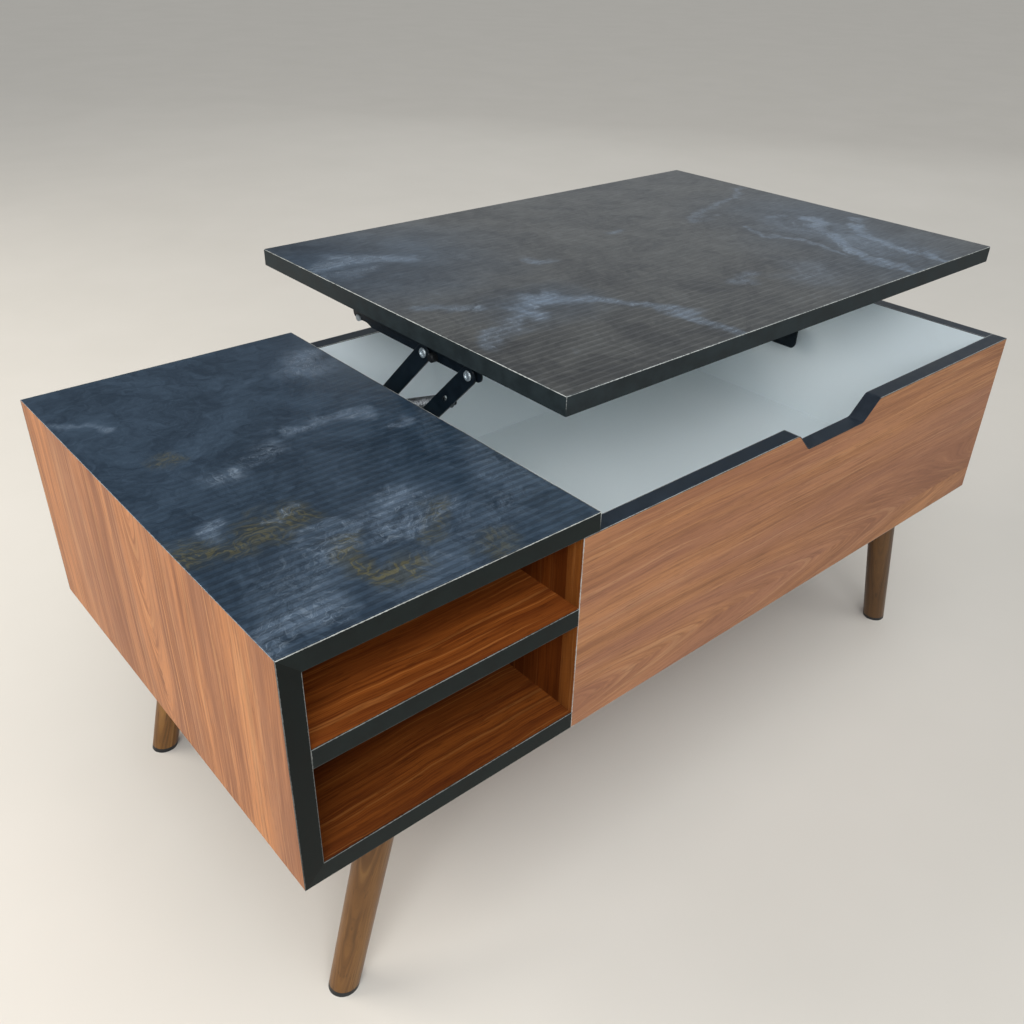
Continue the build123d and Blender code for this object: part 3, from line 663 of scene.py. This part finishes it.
def mottled_finish(made, scale, colours, roughness, grain_scale, depth):
    """Feeds a new material with two colours and two roughnesses that a fine mottling mixes.

    The bump is a second, finer mottling, or the same one where grain_scale is None.
    """
    material, t, bsdf, place = made
    mottle = t.group(MOTTLE, Vector=place, Scale=scale)[0]
    grain = mottle if grain_scale is None else t.group(MOTTLE, Vector=place, Scale=grain_scale)[0]
    colour = t.blend(t.step(mottle, 0.3, 0.7), *colours)
    feed(t, bsdf, colour, t.step(mottle, 0.3, 0.7, *roughness), grain, depth)
    return material


def powder_coat():
    """Black powder coat with a fine orange peel, its blue tint a painted cool reflection."""
    made = new_material("black_powder_coat", IOR=1.5, Specular_IOR_Level=0.2)
    # the coat is black; the blue in it is a painted reflection of cool light
    colours = ((0.002, 0.0044, 0.0072), (0.0048, 0.0095, 0.0145))
    return mottled_finish(made, 120.0, colours, (0.30, 0.42), 1600.0, 0.05 * MM)


def bright_zinc():
    """Bright zinc plate, as tumbled screws and rivets have it."""
    made = new_material("bright_zinc", Metallic=1.0)
    colours = ((0.60, 0.67, 0.70), (0.78, 0.84, 0.86))
    return mottled_finish(made, 300.0, colours, (0.52, 0.60), None, 0.01 * MM)


def spring_wire():
    """Drawn wire with a dark film of oil."""
    made = new_material("oiled_spring_wire", Metallic=1.0)
    colours = ((0.13, 0.135, 0.14), (0.30, 0.31, 0.32))
    return mottled_finish(made, 260.0, colours, (0.34, 0.44), None, 0.01 * MM)


def moulded_black(name, colour, roughness, scale):
    """Moulded black nylon or rubber."""
    made = new_material(name, IOR=1.5, Specular_IOR_Level=0.3)
    colours = (shaded(colour, 0.8), shaded(colour, 1.3))
    duller = (roughness - 0.06, roughness + 0.06)
    return mottled_finish(made, scale, colours, duller, None, 0.05 * MM)


def dress(material, *names):
    """Gives CAD nodes a material."""
    for name in names:
        mesh = NODES[name].data
        mesh.materials.clear()
        mesh.materials.append(material)


# Streaks on the two tops: the width, the strength and then the points of each one's line, in
# millimetres from the board's front left corner
FIXED_HAZES = (
    (26, 0.75, (258, 395), (292, 430)),
    (6, 0.45, (10, 440), (30, 420), (38, 385)),
    (11, 0.85, (180, 278), (220, 288), (255, 292)),
    (18, 0.75, (78, 250), (105, 262), (142, 272)),
    (50, 0.42, (130, 15), (270, 70), (290, 140)),
    (10, 0.85, (258, 245), (272, 250)),
    (12, 0.95, (33, 170), (52, 176)),
    (12, 0.70, (80, 115), (95, 132), (120, 130), (132, 112), (115, 95), (90, 97), (80, 115)),
    (16, 0.95, (148, 88), (160, 110), (182, 132)),
    (14, 0.75, (165, 85), (195, 100), (215, 95)),
    (5, 0.90, (90, 160), (112, 168)),
    (22, 1.00, (3, 15), (22, 25), (42, 32)),
    (34, 0.50, (40, 60), (110, 110), (180, 110)),
)
FIXED_STAINS = (
    (19, 0.80, (6, 148), (44, 136)),
    (16, 0.75, (68, 145), (105, 160)),
    (17, 1.0, (105, 85), (103, 60), (112, 38), (132, 30), (143, 42)),
    (12, 0.6, (178, 65), (190, 85), (197, 105)),
    (16, 0.5, (190, 10), (215, 28)),
    (12, 0.5, (55, 300), (75, 310)),
)
LIFT_HAZES = (
    (20, 1.05, (20, 400), (45, 412), (75, 402), (96, 377)),
    (14, 0.70, (20, 360), (60, 365)),
    (18, 1.5, (100, 178), (122, 188), (150, 186)),
    (10, 1.00, (150, 186), (190, 150), (205, 115), (225, 70), (230, 35), (215, 0)),
    (12, 0.75, (95, 176), (60, 145), (20, 115)),
    (12, 0.75, (32, 225), (62, 212)),
    (10, 0.80, (215, 283), (228, 281)),
    (10, 0.70, (350, 104), (374, 104)),
    (8, 0.60, (365, 318), (385, 318)),
    (11, 1.7, (625, 205), (597, 167), (566, 122), (546, 72), (530, 12)),
    (11, 1.6, (648, 145), (616, 106), (601, 52), (590, 0)),
    (6, 1.00, (530, 232), (525, 150), (526, 95)),
    (11, 0.85, (590, 228), (600, 222)),
    (10, 0.90, (668, 163), (682, 168)),
    (9, 0.65, (500, 285), (600, 330), (700, 365)),
    (30, 0.45, (420, 70), (460, 90)),
    (40, 0.5, (580, 190), (600, 60)),
)
LIFT_NAVY = (
    (150, 1.0, (-20, 420), (60, 400)),
    (120, 0.7, (640, 220), (560, 20)),
    (50, 0.6, (100, 190), (160, 185)),
)


def dress_tops():
    """The two slate tops."""
    fixed = stone_top(
        "slate_laminate_fixed_top",
        FIXED_TOP,
        FIXED_HAZES,
        FIXED_STAINS,
        navy=(),
        ribs_fade=0.85,
        slant=-0.3,
        groove=0.34,
        underside=walnut_face,
    )
    lift = stone_top(
        "slate_laminate_lift_top",
        LIFT_TOP,
        LIFT_HAZES,
        stains=(),
        navy=LIFT_NAVY,
        ribs_fade=0.75,
        slant=0.3,
        groove=0.44,
        underside=white_face,
    )
    dress(fixed, "fixed_top")
    dress(lift, "lift_top_board")


# painted shade: the lower bay's board in darker tones
BOTTOM_SHADE = 0.66  # of the shelf's tones


def dress_boards():
    """The walnut boards, each with its own figure; the bays' boards and the divider are darkened with
    painted shade.
    """
    end_heart = LEFT_END[1].y - 0.26 + LEFT_END[0].x
    front_heart = FRONT_PANEL[0].z + 0.03 + 0.6 * FRONT_PANEL[0].y
    shaded_bottom_tones = [shaded(tone, BOTTOM_SHADE) for tone in SHADED_WALNUT_BAY]
    bay = {"rings": BAY_RINGS, "gloss": 0.25}
    end = {"slope": -0.2, "rings": 20.0}
    front = {"slope": 0.09, "box": FRONT_PANEL}
    boards = (
        ("left_end", "panel", "Z", WALNUT_END, 0.1, end_heart, end),
        ("front", "panel", "X", WALNUT_FRONT, 0.0, front_heart, front),
        ("back", "panel", "X", WALNUT_FRONT, 0.7, front_heart, {}),
        ("right_end", "panel", "Z", WALNUT_END, 1.9, 0.3, {}),
        ("divider", "panel", "Z", SHADED_WALNUT_DIVIDER, 2.3, -0.9, {"rings": 45.0, "gloss": 0.2}),
        ("middle", "shelf", "X", SHADED_WALNUT_BAY, 3.1, -0.2, {"box": SHELF, **bay}),
        ("bottom", "panel", "X", shaded_bottom_tones, 4.4, -0.3, bay),
    )
    for place, kind, axis, tones, offset, heart, more in boards:
        board = walnut_board(f"walnut_{place}", axis, tones, offset, heart, **more)
        dress(board, f"{place}_{kind}")


def dress_bands():
    """The black bands on the boards' edges."""
    # each band's name, box, lower and upper arris line strength (partly painted highlight), tone
    # (painted lighter or darker) and whether it is mitred
    bands = (
        ("left_end_edge_bands", LEFT_END, 0.2, 0.35, BAND, True),
        ("fixed_top_edge_bands", FIXED_TOP, 0.05, 0.9, LONG_BAND, True),
        ("bottom_edge_bands", BOTTOM, 0.1, 0.4, LONG_BAND, True),
        ("middle_shelf_edge_band", SHELF, 0.1, 0.45, LONG_BAND),
        ("front_panel_edge_band", FRONT_PANEL, 0.2, 0.6, LIT_RIM_BAND),
        ("back_panel_edge_band", BACK_PANEL, 0.2, 0.8, LIT_RIM_BAND),
        ("right_end_edge_bands", RIGHT_END, 0.2, 0.5, LIT_RIM_BAND),
        ("lift_top_edge_band", LIFT_TOP, 0.0, 0.9, LIT_LIFT_BAND),
    )
    for name, *finish in bands:
        dress(edge_band(f"black_{name}", *finish), name)


LEGS = [f"{row}_{end}" for row in ("front", "back") for end in ("left", "right")]


def dress_legs():
    """The four legs, the front right one in darker tones as painted shade."""
    for number, place in enumerate(LEGS):
        low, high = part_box(f"{place}_leg")
        side = -1 if "left" in place else 1
        # painted shade: the front right leg's tones are darkened as if it stood in shade
        darker_share = SHADED_LEG if place == "front_right" else 1.0
        tones = [shaded(tone, darker_share) for tone in WALNUT_LEG]
        wood = leg_wood(f"leg_walnut_{place}", low, high, side, 0.37 * number, tones)
        dress(wood, f"{place}_leg")


def dress_hardware():
    """The mechanisms, and the plates, bolts and glides of the legs."""
    coat = powder_coat()
    zinc = bright_zinc()
    nylon = moulded_black("black_nylon", (0.016, 0.017, 0.018), 0.45, 200.0)
    rubber = moulded_black("black_rubber", (0.006, 0.007, 0.008), 0.55, 350.0)
    dress(nylon, *[f"{place}_foot_glide" for place in LEGS])
    dress(coat, *[f"{place}_leg_plate" for place in LEGS])
    dress(zinc, "hanger_bolts", "leg_plate_screws")
    for side in ("left", "right"):
        steel = ("base_channel", "rear_arm", "front_arm", "top_rail", "arm_spring_stud")
        dress(coat, *[f"{side}_{piece}" for piece in steel])
        bright = ("pivot_pins", "spring_anchor", "top_rivets", "base_screws", "rail_screws")
        dress(zinc, *[f"{side}_{piece}" for piece in bright])
        dress(nylon, f"{side}_pivot_bushes")
        dress(rubber, f"{side}_stop_buffer")


ROUND_PIECES = ("leg", "glide", "plate", "bolts", "screws", "arm", "rail", "pins", "bushes")
ROUND_PIECES += ("rivets", "stud", "anchor", "buffer", "channel")
WELD_REACH = 0.001 * MM
SHARP_EDGE = 32.0  # degrees


def smooth_round_nodes():
    """Turned and pressed pieces are shaded smooth between their sharp edges."""
    for name, node in NODES.items():
        if name.endswith(ROUND_PIECES):
            faces = node.data.polygons
            faces.foreach_set("use_smooth", np.ones(len(faces), bool))
            weld = node.modifiers.new("weld", "WELD")
            weld.merge_threshold = WELD_REACH
            sharp = node.modifiers.new("sharp", "EDGE_SPLIT")
            sharp.split_angle = radians(SHARP_EDGE)


# ---- wound springs ----------------------------------------------------------------------------
WIRE_RADIUS = 1.0 * MM
COIL_RADIUS = 9.0 * MM
COIL_PITCH = 3.0 * MM
HOOK_RADIUS = 5.0 * MM
STRAIGHT_TURNS = 2.5  # over this many pitches the wire runs straight to its hook
DRAWN_TURNS = 2.0  # over this many the coil is drawn in before that
WIRE_SIDES = 8
TURN_STEPS = 20
HOOK_STEPS = 36


def wire(name, path, outward, closed, material):
    """A round wire along a path.

    Each point of the path carries a circle in the plane of its outward direction and the direction
    square to that and to the path. A closed path joins its end to its start, and an open one is
    capped.
    """
    if closed:
        ahead = np.roll(path, -1, 0) - np.roll(path, 1, 0)
    else:
        ahead = np.gradient(path, axis=0)
    ahead /= np.linalg.norm(ahead, axis=1, keepdims=True)
    outward = outward - ahead * (outward * ahead).sum(1, keepdims=True)
    outward /= np.linalg.norm(outward, axis=1, keepdims=True)
    sideways = np.cross(ahead, outward)
    angle = np.arange(WIRE_SIDES) * 2 * pi / WIRE_SIDES
    cosine, sine = np.cos(angle)[None, :, None], np.sin(angle)[None, :, None]
    ring = outward[:, None] * cosine + sideways[:, None] * sine
    points = (path[:, None] + WIRE_RADIUS * ring).reshape(-1, 3)

    count = len(path)
    rows = np.arange(count if closed else count - 1)[:, None]
    columns = np.arange(WIRE_SIDES)[None, :]
    next_row = (rows + 1) % count
    next_column = (columns + 1) % WIRE_SIDES
    quads = np.stack(
        [
            rows * WIRE_SIDES + columns,
            rows * WIRE_SIDES + next_column,
            next_row * WIRE_SIDES + next_column,
            next_row * WIRE_SIDES + columns,
        ],
        -1,
    ).reshape(-1, 4)
    faces = quads.tolist()
    if not closed:
        first = list(range(WIRE_SIDES))
        faces += [first[::-1], [point + (count - 1) * WIRE_SIDES for point in first]]
    mesh = bpy.data.meshes.new(name)
    mesh.from_pydata(points.tolist(), [], faces)
    mesh.polygons.foreach_set("use_smooth", np.ones(len(mesh.polygons), bool))
    mesh.materials.append(material)
    piece = bpy.data.objects.new(name, mesh)
    bpy.context.scene.collection.objects.link(piece)
    return piece


def middle_of(name):
    """The middle of a solid's box."""
    low, high = (np.array(corner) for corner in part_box(name))
    return (low + high) / 2


def spring(side, material):
    """A wound extension spring between the channel's anchor stud and the front arm's stud.

    The coil is a helix about the line between the studs, drawn in to that line over its last turns,
    where the wire runs on to a ring round each stud. The coil shortens along that line as the lift
    goes to either limit, and each ring stays round its own stud.
    """
    anchor = middle_of(f"{side}_spring_anchor")
    stud = middle_of(f"{side}_arm_spring_stud")
    anchor[0] = stud[0] = middle_of(f"{side}_spring")[0]
    length = np.linalg.norm(stud - anchor)
    axis = (stud - anchor) / length
    up = np.cross((1.0, 0.0, 0.0), axis)

    inner = HOOK_RADIUS + 0.3 * WIRE_RADIUS  # where the straight wire meets its ring
    turns = (length - 2 * inner) / COIL_PITCH
    share = np.linspace(0.0, 1.0, int(turns * TURN_STEPS))
    from_end = np.minimum(share, 1.0 - share) * turns
    drawn = np.clip((from_end - STRAIGHT_TURNS) / DRAWN_TURNS, 0.0, 1.0)
    radius = (COIL_RADIUS - WIRE_RADIUS) * drawn * drawn * (3.0 - 2.0 * drawn)
    angle = 2 * pi * turns * share
    outward = np.cos(angle)[:, None] * np.array((1.0, 0.0, 0.0)) + np.sin(angle)[:, None] * up
    centre = anchor + axis * (inner + (length - 2 * inner) * share)[:, None]
    coil = wire(f"{side}_spring_coil", centre + outward * radius[:, None], outward, False, material)
    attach(coil, f"{side}_spring")
    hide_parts(f"{side}_spring")
    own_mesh(coil)

    turn = np.arange(HOOK_STEPS) * 2 * pi / HOOK_STEPS
    loop = np.cos(turn)[:, None] * axis + np.sin(turn)[:, None] * up
    hooks = (("rear", anchor, f"{side}_spring"), ("front", stud, f"{side}_front_arm"))
    for end, centre, body in hooks:
        hook = wire(f"{side}_spring_{end}_hook", centre + HOOK_RADIUS * loop, loop, True, material)
        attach(hook, body)


# ---- floor, light and camera ------------------------------------------------------------------
def pale_floor():
    """A plain pale floor under the feet."""
    mesh = bpy.data.meshes.new("floor")
    reach = 30.0
    signs = ((-1, -1), (1, -1), (1, 1), (-1, 1))
    corners = [(x * reach, y * reach, 0.0) for x, y in signs]
    mesh.from_pydata(corners, [], [(0, 1, 2, 3)])
    floor = bpy.data.objects.new("floor", mesh)
    bpy.context.scene.collection.objects.link(floor)
    material, t, bsdf, place = new_material("pale_floor", Roughness=0.55)
    mottle = t.group(MOTTLE, Vector=place, Scale=3.0)[0]
    feed(t, bsdf, t.blend(mottle, (0.60, 0.56, 0.50), (0.66, 0.615, 0.555)))
    mesh.materials.append(material)


def area_light(name, place, aim, size, power, colour, mirrored=True):
    """A rectangular soft light that looks at a point. The camera doesn't see it.

    Where it isn't mirrored, it lights the table without showing in its gloss.
    """
    data = bpy.data.lights.new(name, "AREA")
    data.shape = "RECTANGLE"
    data.size, data.size_y = size
    data.energy = power
    data.color = colour
    light = bpy.data.objects.new(name, data)
    bpy.context.scene.collection.objects.link(light)
    light.location = place
    light.visible_camera = False
    light.visible_glossy = mirrored
    light.rotation_euler = (Vector(aim) - Vector(place)).to_track_quat("-Z", "Y").to_euler()


def sky_light(name, towards, spread, strength, colour):
    """An even soft light from one direction, as far as the floor reaches."""
    data = bpy.data.lights.new(name, "SUN")
    data.angle = radians(spread)
    data.energy = strength
    data.color = colour
    light = bpy.data.objects.new(name, data)
    bpy.context.scene.collection.objects.link(light)
    light.rotation_euler = Vector(towards).to_track_quat("Z", "Y").to_euler()


# how bright the room is as a light, as a reflection and to the camera
ROOM_LIGHT = 0.11
ROOM_REFLECTION = 0.18
ROOM_SEEN = 0.45
CASE_MIDDLE = (0.0, 0.0, 0.35)


def studio():
    """Soft lights in a pale room. The room shows brighter than it lights."""
    world = bpy.data.worlds.new("studio")
    world.use_nodes = True
    t = Tree(world.node_tree)
    background = next(node for node in t.tree.nodes if node.type == "BACKGROUND")
    background.inputs["Color"].default_value = (0.80, 0.86, 0.92, 1.0)
    rays = t.add("ShaderNodeLightPath").outputs
    seen = t.math("MULTIPLY", rays["Is Camera Ray"], ROOM_SEEN - ROOM_LIGHT)
    mirrored = t.math("MULTIPLY", rays["Is Glossy Ray"], ROOM_REFLECTION - ROOM_LIGHT)
    strength = t.math("ADD", t.math("ADD", seen, mirrored), ROOM_LIGHT)
    t.tree.links.new(strength, background.inputs["Strength"])
    bpy.context.scene.world = world
    window = (-2.0, 1.75, 1.75)
    area_light("window", window, CASE_MIDDLE, (2.0, 1.4), 57.0, (1.0, 0.96, 0.90), mirrored=False)
    front = (-1.69, -1.87, 1.98)
    area_light("front_box", front, CASE_MIDDLE, (2.0, 0.8), 55.0, (0.93, 0.97, 1.0))
    sky_light("overhead", (-0.1, -0.35, 1.0), 60.0, 2.0, (0.95, 0.98, 1.0))
    behind = (3.0, 2.0, 1.5)
    area_light("back_card", behind, (0.15, 0.0, 0.53), (4.0, 1.5), 9.0, (0.90, 0.96, 1.0))


CAMERA_PLACE = (-0.7039, -0.7338, 0.8614)
CAMERA_HEADING = 41.29  # degrees from +Y towards +X
CAMERA_DOWN = 31.51  # degrees below level
CAMERA_ROLL = 1.51  # degrees
CAMERA_LENS = 34.24  # millimetres, with the sensor's width
CAMERA_SENSOR = 36.0


def camera():
    """A camera in front of the table's left end, a little above the raised top."""
    data = bpy.data.cameras.new("camera")
    data.lens = CAMERA_LENS
    data.sensor_width = CAMERA_SENSOR
    data.clip_start = 0.01
    view = bpy.data.objects.new("camera", data)
    bpy.context.scene.collection.objects.link(view)
    heading = Matrix.Rotation(radians(-CAMERA_HEADING), 4, "Z")
    tilt = Matrix.Rotation(radians(90.0 - CAMERA_DOWN), 4, "X")
    roll = Matrix.Rotation(radians(CAMERA_ROLL), 4, "Z")
    view.matrix_world = Matrix.Translation(CAMERA_PLACE) @ heading @ tilt @ roll
    bpy.context.scene.camera = view


dress_tops()
dress_boards()
dress_bands()
dress_legs()
dress_hardware()
smooth_round_nodes()
WIRE_FINISH = spring_wire()
for spring_side in ("left", "right"):
    spring(spring_side, WIRE_FINISH)
pale_floor()
studio()
camera()
bpy.context.scene.view_settings.view_transform = "Standard"
